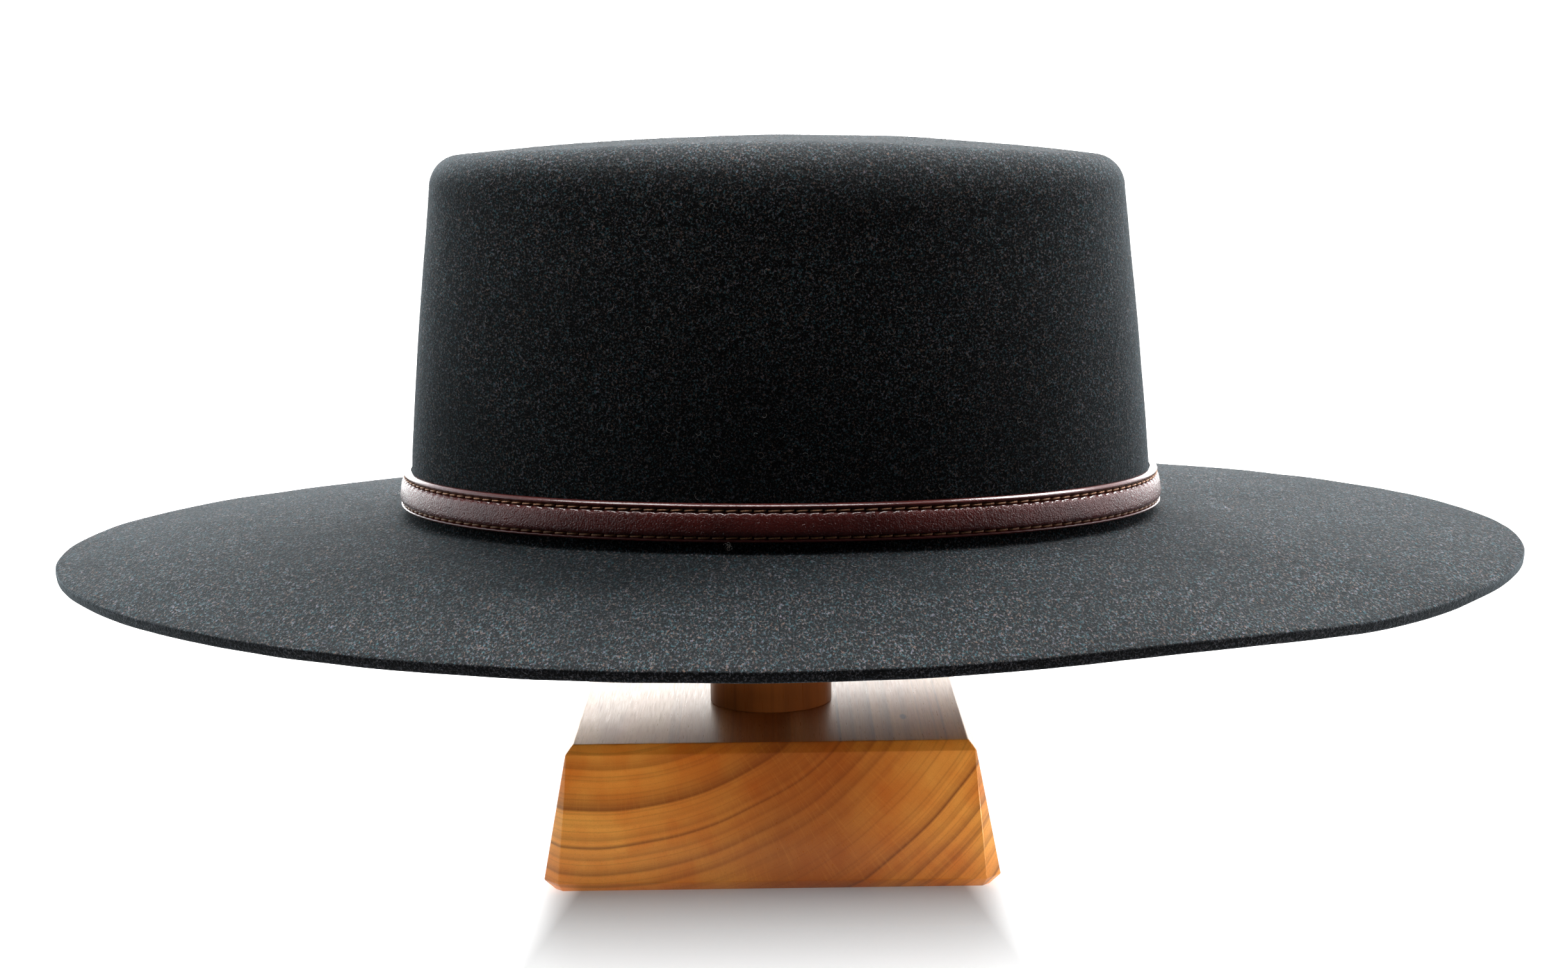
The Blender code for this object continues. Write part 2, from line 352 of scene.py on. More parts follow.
# The post is a turned round of the same wood, with upright grain, set in the block and hidden by
# the hat from the brim up. Its upper edge is rounded so that it doesn't mark the felt.
post_low, post_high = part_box("stand_post")
POST_MIDDLE = (post_low + post_high) / 2
POST_RADIUS = (post_high.x - post_low.x) / 2
POST_EDGE = 0.0020
POST_FOOT_CHAMFER = 0.0003
POST_RING_HEIGHTS = (0.08, 0.12, 0.16)
POST_EDGE_TURNS = (0.0, 22.5, 45.0, 67.5, 90.0)
POST_SIDES = 96
POST_PITH = (-0.030, 0.050, 0.0)
POST_FIRST_YEAR = 0.037
POST_YEAR_WIDTH = 0.0036
POST_YEARS = 11
# The post's colours are the block's stain painted much darker: painted shade from the hat's brim
# above it.
POST_SHADED_LIGHT = (0.26, 0.078, 0.016)
POST_SHADED_STAIN = (0.19, 0.050, 0.010)
POST_SHADED_DARK = (0.09, 0.020, 0.005)


def post_section(radius, height):
    def place(angle):
        return (POST_MIDDLE.x + radius * cos(angle), radius * sin(angle), height)

    return place


bm = bmesh.new()
outline = [
    post_section(POST_RADIUS - POST_FOOT_CHAMFER, BLOCK_HEIGHT),
    post_section(POST_RADIUS, BLOCK_HEIGHT + POST_FOOT_CHAMFER),
]
outline += [post_section(POST_RADIUS, height) for height in POST_RING_HEIGHTS]
for turn in POST_EDGE_TURNS:
    inward = POST_EDGE * (1 - cos(radians(turn)))
    drop = POST_EDGE * (1 - sin(radians(turn)))
    outline.append(post_section(POST_RADIUS - inward, post_high.z - drop))
rings, loops = loft(bm, outline, POST_SIDES)
bmesh.ops.contextual_create(bm, geom=loops[0])
bmesh.ops.contextual_create(bm, geom=loops[-1])
bmesh.ops.recalc_face_normals(bm, faces=bm.faces)
post_years = tuple(
    {"radius": POST_FIRST_YEAR + POST_YEAR_WIDTH * count, "dark": 0.5} for count in range(POST_YEARS)
)
# Painted shade: the post's wood is a darker copy of the block's, for the brim's shade.
post_wood = stained_wood(
    "shaded_brown_turned_wood", POST_PITH, "Z", post_years, POST_SHADED_LIGHT, POST_SHADED_STAIN, POST_SHADED_DARK
)
finish_piece("display_post", bm, [post_wood], ["stand_post"])

# Crown and brim are blocked from one wool felt: wetted, pulled over a wooden hat block, dried and
# brushed. The felt is black with a short nap that turns slate grey where light grazes it. The
# brim's edge is cut and left raw, so its fibres show a duller black.
felt_low, felt_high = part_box("hat_felt")
BRIM_LENGTH = felt_high.x - felt_low.x
BRIM_WIDTH = felt_high.y - felt_low.y
FELT_THICKNESS = 0.0028
BRIM_EDGE_HEIGHT = 0.0856
BRIM_EDGE_RISE_AT_ENDS = 0.0014
BRIM_CROWNING = 0.0012
CROWN_OFFSET_X = -0.0023
CROWN_FOOT_LENGTH = 0.2092
CROWN_FOOT_WIDTH = 0.1706
CROWN_FOOT_HEIGHT = 0.0948
CROWN_FOOT_RISE_AT_SIDES = 0.0018
CROWN_FOOT_FALL = 0.0007
CROWN_FILLET = 0.0026
CROWN_TAPER = 0.0082
CROWN_BELLY = 0.0005
TIP_EDGE_HEIGHT = 0.1944
TIP_EDGE_RADIUS = 0.0090
TIP_EDGE_RISE_AT_SIDES = 0.0037
TIP_EDGE_RADIUS_AT_SIDES = 0.0200
TIP_DOME = 0.0052
TIP_FALL = 0.0010
FELT_SIDES = 288
BRIM_RINGS = 19
FILLET_TURNS = (15.0, 30.0, 45.0, 60.0, 75.0, 90.0)
SIDE_RINGS = 17
EDGE_RINGS = 13
TIP_RINGS = 14
FELT_LUMP_HEIGHT = 0.00016
FELT_LUMP_SIZE = 0.022
BRUSHED_EDGE = 0.0006
NAP_LIE = (1.0, 0.35, 1.0)
TUFT_DEPTH = 0.00030
TANGLE_DEPTH = 0.00024
FIBRE_COLOURS = ((0.022, 0.090, 0.108), (0.145, 0.088, 0.062), (0.175, 0.162, 0.210))
FELT_GROUND = (0.0005, 0.0005, 0.0006)
CUT_FIBRES = ((0.030, 0.036, 0.050), (0.056, 0.046, 0.046), (0.110, 0.108, 0.116))
LOOSE_WOOL_SEED = 5
LOOSE_WOOL_COUNT = 10000
# Gentle waves in the brim's edge: where each lies round the hat, its height and its spread.
BRIM_WAVES = (
    {"angle": -115.0, "height": -0.0006, "spread": 35.0},
    {"angle": -64.0, "height": 0.0012, "spread": 12.0},
    {"angle": -44.0, "height": -0.0010, "spread": 11.0},
    {"angle": 50.0, "height": 0.0008, "spread": 35.0},
    {"angle": 140.0, "height": -0.0002, "spread": 35.0},
)


def oval(half_length, half_width, height, offset_x=CROWN_OFFSET_X):
    """A section on an oval, whose height is a function of the angle."""

    def place(angle):
        return (offset_x + half_length * cos(angle), half_width * sin(angle), height(angle))

    return place


def crown_foot_height(angle):
    rise = CROWN_FOOT_RISE_AT_SIDES * sin(angle) ** 2
    return CROWN_FOOT_HEIGHT + rise - CROWN_FOOT_FALL * cos(angle)


def brim_edge_height(angle):
    height = BRIM_EDGE_HEIGHT + BRIM_EDGE_RISE_AT_ENDS * cos(angle) ** 2
    for wave in BRIM_WAVES:
        turn = (angle - radians(wave["angle"]) + pi) % (2 * pi) - pi
        height += wave["height"] * exp(-((turn / radians(wave["spread"])) ** 2))
    return height


def crown_inset(rise):
    """How far the crown's side has drawn in at this height above the crown's foot."""
    share = rise / (TIP_EDGE_HEIGHT - TIP_EDGE_RADIUS - CROWN_FOOT_HEIGHT)
    return CROWN_TAPER * share - CROWN_BELLY * sin(pi * share)


def brim_section(share):
    """The brim's upper face, from its edge at share 0 to the crown's fillet at share 1."""
    inner_length = CROWN_FOOT_LENGTH / 2 + CROWN_FILLET
    inner_width = CROWN_FOOT_WIDTH / 2 + CROWN_FILLET

    def height(angle):
        level = brim_edge_height(angle) * (1 - share) + crown_foot_height(angle) * share
        return level + BRIM_CROWNING * sin(pi * share)

    half_length = BRIM_LENGTH / 2 * (1 - share) + inner_length * share
    half_width = BRIM_WIDTH / 2 * (1 - share) + inner_width * share
    return oval(half_length, half_width, height, CROWN_OFFSET_X * share)


def side_section(outset, rise):
    """A ring on the crown's side, which turns from the foot's line to the tip's going up."""
    share = rise / (TIP_EDGE_HEIGHT - CROWN_FOOT_HEIGHT)

    def height(angle):
        tip_edge = TIP_EDGE_HEIGHT - TIP_FALL * cos(angle)
        return crown_foot_height(angle) * (1 - share) + tip_edge * share

    return oval(CROWN_FOOT_LENGTH / 2 + outset, CROWN_FOOT_WIDTH / 2 + outset, height)


def tip_edge_radius(angle):
    """The tip's edge is rounded more softly along the hat's sides than at its ends."""
    return TIP_EDGE_RADIUS * cos(angle) ** 2 + TIP_EDGE_RADIUS_AT_SIDES * sin(angle) ** 2


def upper_section(share, turn=0.0):
    """A ring a share of the way up the crown's side, or from its top a turn over the edge."""

    def place(angle):
        radius = tip_edge_radius(angle)
        edge_height = TIP_EDGE_HEIGHT + TIP_EDGE_RISE_AT_SIDES * sin(angle) ** 2
        side_top = edge_height - radius - CROWN_FOOT_HEIGHT
        rise = CROWN_FILLET + (side_top - CROWN_FILLET) * share
        inset = crown_inset(rise) + radius * (1 - cos(turn))
        x, y, z = side_section(-inset, rise)(angle)
        return (x, y, z + radius * sin(turn))

    return place


def tip_section(share):
    """A ring on the domed tip: the share of the way from its middle to its rounded edge."""
    tip_edge = upper_section(1.0, pi / 2)
    top = TIP_EDGE_HEIGHT + TIP_DOME

    def place(angle):
        x, y, z = tip_edge(angle)
        return (CROWN_OFFSET_X + (x - CROWN_OFFSET_X) * share, y * share, top - (top - z) * share**2)

    return place


def felt_sections():
    """The felt's outer face, from the brim's edge up over the crown to the last tip ring."""
    sections = [brim_section(share) for share in np.linspace(0.0, 1.0, BRIM_RINGS)]
    for turn in FILLET_TURNS:
        out = CROWN_FILLET * (1 - sin(radians(turn)))
        rise = CROWN_FILLET * (1 - cos(radians(turn)))
        sections.append(side_section(out - crown_inset(rise), rise))
    sections += [upper_section(share) for share in np.linspace(0.0, 1.0, SIDE_RINGS)[1:]]
    edge_turns = np.linspace(0.0, 84.0, EDGE_RINGS)[1:]
    sections += [upper_section(1.0, radians(turn)) for turn in edge_turns]
    return sections + [tip_section(share) for share in np.linspace(0.95, 0.04, TIP_RINGS)]


def black_felt(name, nap, nap_roughness, fibres, ground):
    """Wool felt: bright specks of fibre on a black ground, under a nap that catches the light.

    The specks are drawn out from one side of the hat to the other, the way the nap is brushed.
    """
    material, tree, shader = start_material(
        name,
        Roughness=0.95,
        Specular_IOR_Level=0.1,
        Sheen_Weight=nap,
        Sheen_Roughness=nap_roughness,
        Sheen_Tint=(0.72, 0.90, 1.0, 1.0),
    )
    place = add_node(tree, "ShaderNodeTexCoord").outputs["Object"]
    brushed = calculate_vector(tree, "MULTIPLY", place, NAP_LIE).outputs[0]
    tangle = blotches(tree, brushed, 1900.0, 3.0, 0.7, 0.4)
    specks = add_node(tree, "ShaderNodeSeparateXYZ", {"Vector": tangle.outputs["Color"]})
    tufts = blotches(tree, brushed, 500.0, 2.0, 0.6).outputs[0]
    cloud = blotches(tree, place, 34.0, 3.0).outputs[0]
    cool, warm, pale = fibres
    colour = mix_colours(tree, between(tree, specks.outputs["Y"], 0.44, 0.58), cool, warm)
    colour = mix_colours(tree, between(tree, specks.outputs["Z"], 0.50, 0.66), colour, pale)
    shown = between(tree, tangle.outputs[0], 0.50, 0.62)
    shown = calculate(tree, "MULTIPLY", shown, between(tree, tufts, 0.3, 0.7, 0.5, 1.0))
    shown = calculate(tree, "MULTIPLY", shown, between(tree, cloud, 0.3, 0.7, 1.0, 0.6))
    fill_socket(tree, shader.inputs["Base Color"], mix_colours(tree, shown, ground, colour))
    lie = raise_relief(tree, tufts, TUFT_DEPTH)
    relief = raise_relief(tree, tangle.outputs[0], TANGLE_DEPTH, lie)
    fill_socket(tree, shader.inputs["Normal"], relief)
    return material


bm = bmesh.new()
rings, loops = loft(bm, felt_sections() + [tip_section(0.0)], FELT_SIDES)
bmesh.ops.pointmerge(
    bm,
    verts=[vert for vert, _ in rings[-1]],
    merge_co=(CROWN_OFFSET_X, 0.0, TIP_EDGE_HEIGHT + TIP_DOME),
)
bmesh.ops.recalc_face_normals(bm, faces=bm.faces)
top_face = max(bm.faces, key=lambda face: face.calc_center_median().z)
if top_face.normal.z < 0:
    bmesh.ops.reverse_faces(bm, faces=bm.faces)
bm.normal_update()
for vert in bm.verts:
    lump = noise.fractal(vert.co / FELT_LUMP_SIZE, 0.8, 2.2, 3)
    vert.co += vert.normal * FELT_LUMP_HEIGHT * lump
felt = black_felt("black_wool_felt", 0.12, 0.38, FIBRE_COLOURS, FELT_GROUND)
cut_felt = black_felt("cut_felt_edge", 0.2, 0.40, CUT_FIBRES, FELT_GROUND)
random.seed(LOOSE_WOOL_SEED)
face_areas = [face.calc_area() for face in bm.faces]
felt_roots = [
    (face.calc_center_median(), face.normal.copy(), face.calc_tangent_edge())
    for face in random.choices(bm.faces[:], weights=face_areas, k=LOOSE_WOOL_COUNT)
]
hat = finish_piece("felt_crown_and_brim", bm, [felt, cut_felt], ["hat_felt"])
wall = hat.modifiers.new("felt_thickness", "SOLIDIFY")
wall.thickness = FELT_THICKNESS
wall.offset = -1.0
wall.use_even_offset = True
wall.material_offset_rim = 1
brushed = hat.modifiers.new("brushed_edge", "BEVEL")
brushed.width = BRUSHED_EDGE
brushed.segments = 3
brushed.limit_method = "ANGLE"
brushed.angle_limit = radians(60.0)

# The felt's nap is a short fuzz of loose wool ends, which stands off the surface and shows best on
# its outline. Among it lie a few long curled fibres and, on the band's foot at the hat's side, a
# little tuft of lint. All of it only clings to the felt.
FIBRE_RADIUS = 0.000026
NAP_FIBRE_RADIUS = 0.000024
LONG_FIBRES = 900
FIBRE_STEPS = 7
FIBRE_LENGTH = (0.0018, 0.0040)
FIBRE_LIFT = 0.00022
FIBRE_BEND = 0.55
NAP_LENGTH = (0.0003, 0.0009)
NAP_SCATTER = 0.0006
FIBRE_GREY = (0.30, 0.29, 0.28)
FIBRE_BROWN = (0.16, 0.12, 0.09)
NAP_DARK = (0.020, 0.036, 0.040)
NAP_PALE = (0.105, 0.098, 0.100)
LINT_PLACE = Vector((-0.0150, -0.0893, 0.0992))
LINT_FIBRES = 9
LINT_SCATTER = 0.0003


def curl(root, normal, tangent, length, lift, bend):
    """Points along one fibre, which leaves the felt, arches over it and ends just above it."""
    beside = normal.cross(tangent)
    heading = random.uniform(0.0, 2 * pi)
    point = root.copy()
    points = []
    for step in range(FIBRE_STEPS):
        height = lift * sin(pi * (0.12 + 0.8 * step / (FIBRE_STEPS - 1)))
        points.append(point + normal * height)
        point = point + (tangent * cos(heading) + beside * sin(heading)) * length / FIBRE_STEPS
        heading += bend * random.uniform(0.4, 1.6)
    return points


def loose_end(root, normal, tangent):
    """Three points along one short end of wool, which stands up from the felt and leans over."""
    heading = random.uniform(0.0, 2 * pi)
    lean = tangent * cos(heading) + normal.cross(tangent) * sin(heading)
    length = random.uniform(*NAP_LENGTH)
    spot = root + tangent * random.gauss(0.0, NAP_SCATTER)
    spot += normal.cross(tangent) * random.gauss(0.0, NAP_SCATTER)
    middle = spot + normal * length * 0.6 + lean * length * 0.3
    end = middle + normal * length * random.uniform(-0.1, 0.4) + lean * length * 0.7
    return [spot, middle, end]


def fibre_strands(strands, radius):
    """Draws each list of points as a thin fibre, and returns all of them in one bmesh."""
    lines = bpy.data.curves.new("fibre_lines", "CURVE")
    lines.dimensions = "3D"
    lines.bevel_depth = radius
    lines.bevel_resolution = 0
    for points in strands:
        line = lines.splines.new("POLY")
        line.points.add(len(points) - 1)
        for end, point in zip(line.points, points):
            end.co = (*point, 1.0)
        line.points[-1].radius = 0.4
    holder = bpy.data.objects.new("fibre_lines", lines)
    bpy.context.collection.objects.link(holder)
    depsgraph = bpy.context.evaluated_depsgraph_get()
    drawn = bpy.data.meshes.new_from_object(holder.evaluated_get(depsgraph))
    bpy.data.objects.remove(holder)
    strand_bm = bmesh.new()
    strand_bm.from_mesh(drawn)
    bpy.data.meshes.remove(drawn)
    return strand_bm


def wool_fibre(name, dark, pale):
    material, tree, shader = start_material(name, Roughness=0.7, Sheen_Weight=0.2)
    place = add_node(tree, "ShaderNodeTexCoord").outputs["Object"]
    shade = between(tree, blotches(tree, place, 300.0, 1.0).outputs[0], 0.4, 0.6)
    fill_socket(tree, shader.inputs["Base Color"], mix_colours(tree, shade, dark, pale))
    return material


curls = []
for root, normal, tangent in felt_roots[:LONG_FIBRES]:
    length = random.uniform(*FIBRE_LENGTH)
    bend = random.choice((-1, 1)) * FIBRE_BEND
    curls.append(curl(root, normal, tangent, length, FIBRE_LIFT, bend))
for count in range(LINT_FIBRES):
    spot = LINT_PLACE + Vector(random.gauss(0.0, LINT_SCATTER) for _ in range(3))
    curls.append(curl(spot, Vector((0, -1, 0)), Vector((1, 0, 0)), 0.0020, 0.0003, 0.6))
loose_wool = wool_fibre("pale_wool_fibre", FIBRE_BROWN, FIBRE_GREY)
finish_piece("stray_fibres", fibre_strands(curls, FIBRE_RADIUS), [loose_wool])
loose_ends = [loose_end(*root) for root in felt_roots[LONG_FIBRES:]]
nap_wool = wool_fibre("dark_wool_nap", NAP_DARK, NAP_PALE)
finish_piece("short_nap", fibre_strands(loose_ends, NAP_FIBRE_RADIUS), [nap_wool])

# The band is a strap of glossy red-brown leather, folded over a soft filling and stitched along
# both edges, which draws the leather into a groove at each row and a little hole at each stitch.
# It goes once round the foot of the crown and is only held by being tight.
BAND_LIFT = 0.0030
BAND_GAP = 0.0003
STITCH_COUNT = 172
SIDES_PER_STITCH = 8
LEATHER = (0.125, 0.0150, 0.0115)
# The deep colour serves both the leather's darker tone and its painted shade in grooves and against
# the felt.
LEATHER_DEEP_TONE_AND_SHADE = (0.028, 0.0030, 0.0023)
LEATHER_WORN = (0.260, 0.052, 0.037)
# Up the strap's face, in millimetres: height above its foot, how far it stands off the felt, how
#  far the thread draws it in and how far down beside each hole; and how dark the painted shade is
#  there, deepest in the stitch grooves and on the faces turned to the felt.
BAND_OUTLINE = (
    {"height": 0.00, "out": 0.00, "draw": 0.00, "sink": 0.00, "dark": 1.0},
    {"height": 0.00, "out": 1.20, "draw": 0.00, "sink": 0.00, "dark": 1.0},
    {"height": 0.06, "out": 1.80, "draw": 0.00, "sink": 0.00, "dark": 0.9},
    {"height": 0.20, "out": 2.12, "draw": 0.00, "sink": 0.00, "dark": 0.4},
    {"height": 0.44, "out": 2.24, "draw": 0.00, "sink": 0.00, "dark": 0.0},
    {"height": 0.66, "out": 2.22, "draw": 0.03, "sink": 0.04, "dark": 0.0},
    {"height": 0.80, "out": 2.06, "draw": 0.06, "sink": 0.08, "dark": 0.0},
    {"height": 0.92, "out": 1.84, "draw": 0.10, "sink": 0.10, "dark": 0.0},
    {"height": 1.04, "out": 1.62, "draw": 0.20, "sink": 0.06, "dark": 0.3},
    {"height": 1.26, "out": 1.52, "draw": 0.42, "sink": 0.00, "dark": 1.0},
    {"height": 1.40, "out": 1.66, "draw": 0.25, "sink": 0.00, "dark": 1.0},
    {"height": 1.54, "out": 2.02, "draw": 0.10, "sink": -0.06, "dark": 0.5},
    {"height": 1.72, "out": 2.32, "draw": 0.06, "sink": -0.06, "dark": 0.1},
    {"height": 2.00, "out": 2.50, "draw": 0.03, "sink": -0.04, "dark": 0.0},
    {"height": 2.50, "out": 2.60, "draw": 0.01, "sink": 0.00, "dark": 0.0},
    {"height": 3.20, "out": 2.62, "draw": 0.00, "sink": 0.00, "dark": 0.0},
    {"height": 4.20, "out": 2.59, "draw": 0.00, "sink": 0.00, "dark": 0.0},
    {"height": 5.20, "out": 2.52, "draw": 0.00, "sink": 0.00, "dark": 0.0},
    {"height": 6.10, "out": 2.42, "draw": 0.01, "sink": 0.04, "dark": 0.0},
    {"height": 6.80, "out": 2.30, "draw": 0.03, "sink": 0.10, "dark": 0.0},
    {"height": 7.20, "out": 2.18, "draw": 0.05, "sink": 0.20, "dark": 0.0},
    {"height": 7.42, "out": 2.05, "draw": 0.07, "sink": 0.26, "dark": 0.0},
    {"height": 7.58, "out": 1.87, "draw": 0.08, "sink": 0.28, "dark": 0.0},
    {"height": 7.74, "out": 1.69, "draw": 0.12, "sink": 0.26, "dark": 0.0},
    {"height": 7.90, "out": 1.50, "draw": 0.22, "sink": 0.14, "dark": 0.6},
    {"height": 8.14, "out": 1.36, "draw": 0.44, "sink": 0.00, "dark": 1.0},
    {"height": 8.34, "out": 1.44, "draw": 0.28, "sink": 0.00, "dark": 1.0},
    {"height": 8.54, "out": 1.70, "draw": 0.10, "sink": -0.04, "dark": 0.6},
    {"height": 8.78, "out": 1.88, "draw": 0.04, "sink": -0.03, "dark": 0.1},
    {"height": 9.08, "out": 1.96, "draw": 0.01, "sink": 0.00, "dark": 0.0},
    {"height": 9.26, "out": 1.94, "draw": 0.00, "sink": 0.00, "dark": 0.0},
    {"height": 9.40, "out": 1.82, "draw": 0.00, "sink": 0.00, "dark": 0.0},
    {"height": 9.57, "out": 1.63, "draw": 0.00, "sink": 0.00, "dark": 0.0},
    {"height": 9.74, "out": 1.44, "draw": 0.00, "sink": 0.00, "dark": 0.0},
    {"height": 9.88, "out": 1.20, "draw": 0.00, "sink": 0.00, "dark": 0.2},
    {"height": 9.80, "out": 0.00, "draw": 0.00, "sink": 0.00, "dark": 1.0},
)
LOOSE_LEATHER = (1.6, 7.3)
STRETCHED_SMOOTH = 0.1
PEBBLE_DEPTH = 0.00012
WRINKLE_DEPTH = 0.00024
GRAIN_DEPTH = 0.00006
BAND_MIDDLE_OUT = 0.002
MILLIMETRE = 0.001

turns = np.linspace(-pi, pi, 2001)
steps = np.hypot(
    np.diff((CROWN_FOOT_LENGTH / 2 + BAND_MIDDLE_OUT) * np.cos(turns)),
    np.diff((CROWN_FOOT_WIDTH / 2 + BAND_MIDDLE_OUT) * np.sin(turns)),
)
shares = np.concatenate([[0.0], np.cumsum(steps) / np.sum(steps)])


def even_turn(angle):
    """The oval's own angle that lies the same share of the way round the strap as this angle."""
    return float(np.interp((angle + pi) / (2 * pi) % 1.0, shares, turns))


def stitch_phase(angle):
    """Where an angle lies between two holes: 0 at a hole, and nearly 1 just before the next."""
    return (angle / (2 * pi) * STITCH_COUNT) % 1.0


def hole_pull(angle):
    """How strongly the thread draws the leather in here: 1 at a hole, 0 half way to the next."""
    return (0.5 + 0.5 * cos(2 * pi * stitch_phase(angle))) ** 2


def on_band(angle, height, out):
    """A place on the strap, from the height above its foot and the distance off the felt."""
    rise = BAND_LIFT + height * MILLIMETRE
    outset = BAND_GAP + out * MILLIMETRE - crown_inset(rise)
    return side_section(outset, rise)(even_turn(angle))


def band_section(row):
    def place(angle):
        pull = hole_pull(angle)
        return on_band(angle, row["height"] - row["sink"] * pull, row["out"] - row["draw"] * pull)

    return place


def glossy_leather(name):
    """Smooth finished leather: fine grain, painted shade in its grooves and where it turns in to the
    felt, rubbed lighter on the ridges.

    It wrinkles where it is loose, between the rows of stitches, and is stretched smooth at its edges.
    """
    material, tree, shader = start_material(
        name, Specular_IOR_Level=0.15, Coat_Weight=1.0, Coat_Roughness=0.12, Coat_IOR=1.5
    )
    place = add_node(tree, "ShaderNodeTexCoord").outputs["Object"]
    groove_painted_shade = add_node(tree, "ShaderNodeAttribute", attribute_name="groove_painted_shade").outputs["Fac"]
    loose = add_node(tree, "ShaderNodeAttribute", attribute_name="loose").outputs["Fac"]
    pebbles = add_node(
        tree, "ShaderNodeTexVoronoi", {"Vector": place, "Scale": 2400.0}, feature="SMOOTH_F1"
    ).outputs["Distance"]
    creases = blotches(tree, place, 1300.0, 3.0, 0.6, 1.2).outputs[0]
    cloud = blotches(tree, place, 90.0, 3.0).outputs[0]
    colour = mix_colours(tree, between(tree, cloud, 0.35, 0.7, 0.0, 0.5), LEATHER, LEATHER_DEEP_TONE_AND_SHADE)
    colour = mix_colours(tree, between(tree, creases, 0.52, 0.75, 0.0, 0.35), colour, LEATHER_WORN)
    # Painted shade: the leather is darkened in its stitch grooves and on the faces turned to the
    # felt.
    colour = mix_colours(tree, groove_painted_shade, colour, LEATHER_DEEP_TONE_AND_SHADE)
    fill_socket(tree, shader.inputs["Base Color"], colour)
    fill_socket(tree, shader.inputs["Roughness"], between(tree, creases, 0.3, 0.7, 0.35, 0.50))
    grain = raise_relief(tree, pebbles, GRAIN_DEPTH)
    fill_socket(tree, shader.inputs["Normal"], raise_relief(tree, creases, GRAIN_DEPTH, grain))
    polish = raise_relief(tree, calculate(tree, "MULTIPLY", pebbles, loose), PEBBLE_DEPTH)
    wrinkles = calculate(tree, "MULTIPLY", creases, loose)
    relief = raise_relief(tree, wrinkles, WRINKLE_DEPTH, polish)
    fill_socket(tree, shader.inputs["Coat Normal"], relief)
    return material


bm = bmesh.new()
groove_painted_shade = bm.verts.layers.float.new("groove_painted_shade")
loose = bm.verts.layers.float.new("loose")
rings, loops = loft(bm, [band_section(row) for row in BAND_OUTLINE], STITCH_COUNT * SIDES_PER_STITCH)
for ring, row in zip(rings, BAND_OUTLINE):
    is_loose = LOOSE_LEATHER[0] < row["height"] < LOOSE_LEATHER[1]
    for vert, _ in ring:
        # Each ring carries how much painted shade it gets, from the dark column.
        vert[groove_painted_shade] = row["dark"]
        vert[loose] = 1.0 if is_loose else STRETCHED_SMOOTH
bmesh.ops.bridge_loops(bm, edges=loops[0] + loops[-1])
bmesh.ops.recalc_face_normals(bm, faces=bm.faces)
leather = glossy_leather("red_brown_leather")
finish_piece("leather_band", bm, [leather], ["hat_band"])

# Two rows of waxed tan thread, saddle-stitched: each stitch comes out of one hole, lies on the
# leather and goes down the next. It slants a little, because the awl's holes do.
STITCH_ROWS = (
    {"height": 1.24, "out": 1.84},
    {"height": 8.14, "out": 1.66},
)
THREAD_RADIUS = 0.24
STITCH_SLANT = 0.10
THREAD = (0.62, 0.29, 0.13)
THREAD_DARK = (0.24, 0.095, 0.040)
THREAD_PLY_DEPTH = 0.00008
STITCH_SIDES = 6
# Along one stitch: the share of the way to the next hole, and how far the thread's middle stands
# above or below the leather, in thread radii.
STITCH_PATH = (
    {"along": 0.05, "over": -2.4},
    {"along": 0.13, "over": -0.6},
    {"along": 0.26, "over": 0.25},
    {"along": 0.50, "over": 0.45},
    {"along": 0.74, "over": 0.25},
    {"along": 0.87, "over": -0.6},
    {"along": 0.95, "over": -2.4},
)


def stitch_section(first_angle, stitch_row, step):
    """A ring round the thread at one step along its stitch."""
    angle = first_angle + 2 * pi / STITCH_COUNT * step["along"]
    height = stitch_row["height"] + STITCH_SLANT * (2 * step["along"] - 1)
    out = stitch_row["out"] + THREAD_RADIUS * step["over"]

    def place(round_angle):
        return on_band(
            angle,
            height + THREAD_RADIUS * cos(round_angle),
            out + THREAD_RADIUS * sin(round_angle),
        )

    return place


def waxed_thread(name):
    material, tree, shader = start_material(name, Coat_Weight=0.2, Coat_Roughness=0.3)
    place = add_node(tree, "ShaderNodeTexCoord").outputs["Object"]
    ply = blotches(tree, place, 3000.0, 2.0).outputs[0]
    wear = blotches(tree, place, 160.0, 2.0).outputs[0]
    colour = mix_colours(tree, between(tree, ply, 0.35, 0.65), THREAD_DARK, THREAD)
    colour = mix_colours(tree, between(tree, wear, 0.45, 0.75, 0.0, 0.6), colour, THREAD_DARK)
    fill_socket(tree, shader.inputs["Base Color"], colour)
    fill_socket(tree, shader.inputs["Roughness"], between(tree, ply, 0.3, 0.7, 0.42, 0.62))
    fill_socket(tree, shader.inputs["Normal"], raise_relief(tree, ply, THREAD_PLY_DEPTH))
    return material


bm = bmesh.new()
one_stitch = bpy.data.meshes.new("one_stitch")
for stitch_row in STITCH_ROWS:
    for count in range(STITCH_COUNT):
        first_angle = 2 * pi * count / STITCH_COUNT
        sections = [stitch_section(first_angle, stitch_row, step) for step in STITCH_PATH]
        stitch = bmesh.new()
        rings, loops = loft(stitch, sections, STITCH_SIDES)
        bmesh.ops.contextual_create(stitch, geom=loops[0])
        bmesh.ops.contextual_create(stitch, geom=loops[-1])
        bmesh.ops.recalc_face_normals(stitch, faces=stitch.faces)
        stitch.to_mesh(one_stitch)
        stitch.free()
        bm.from_mesh(one_stitch)
bpy.data.meshes.remove(one_stitch)
finish_piece("band_stitches", bm, [waxed_thread("waxed_tan_thread")])
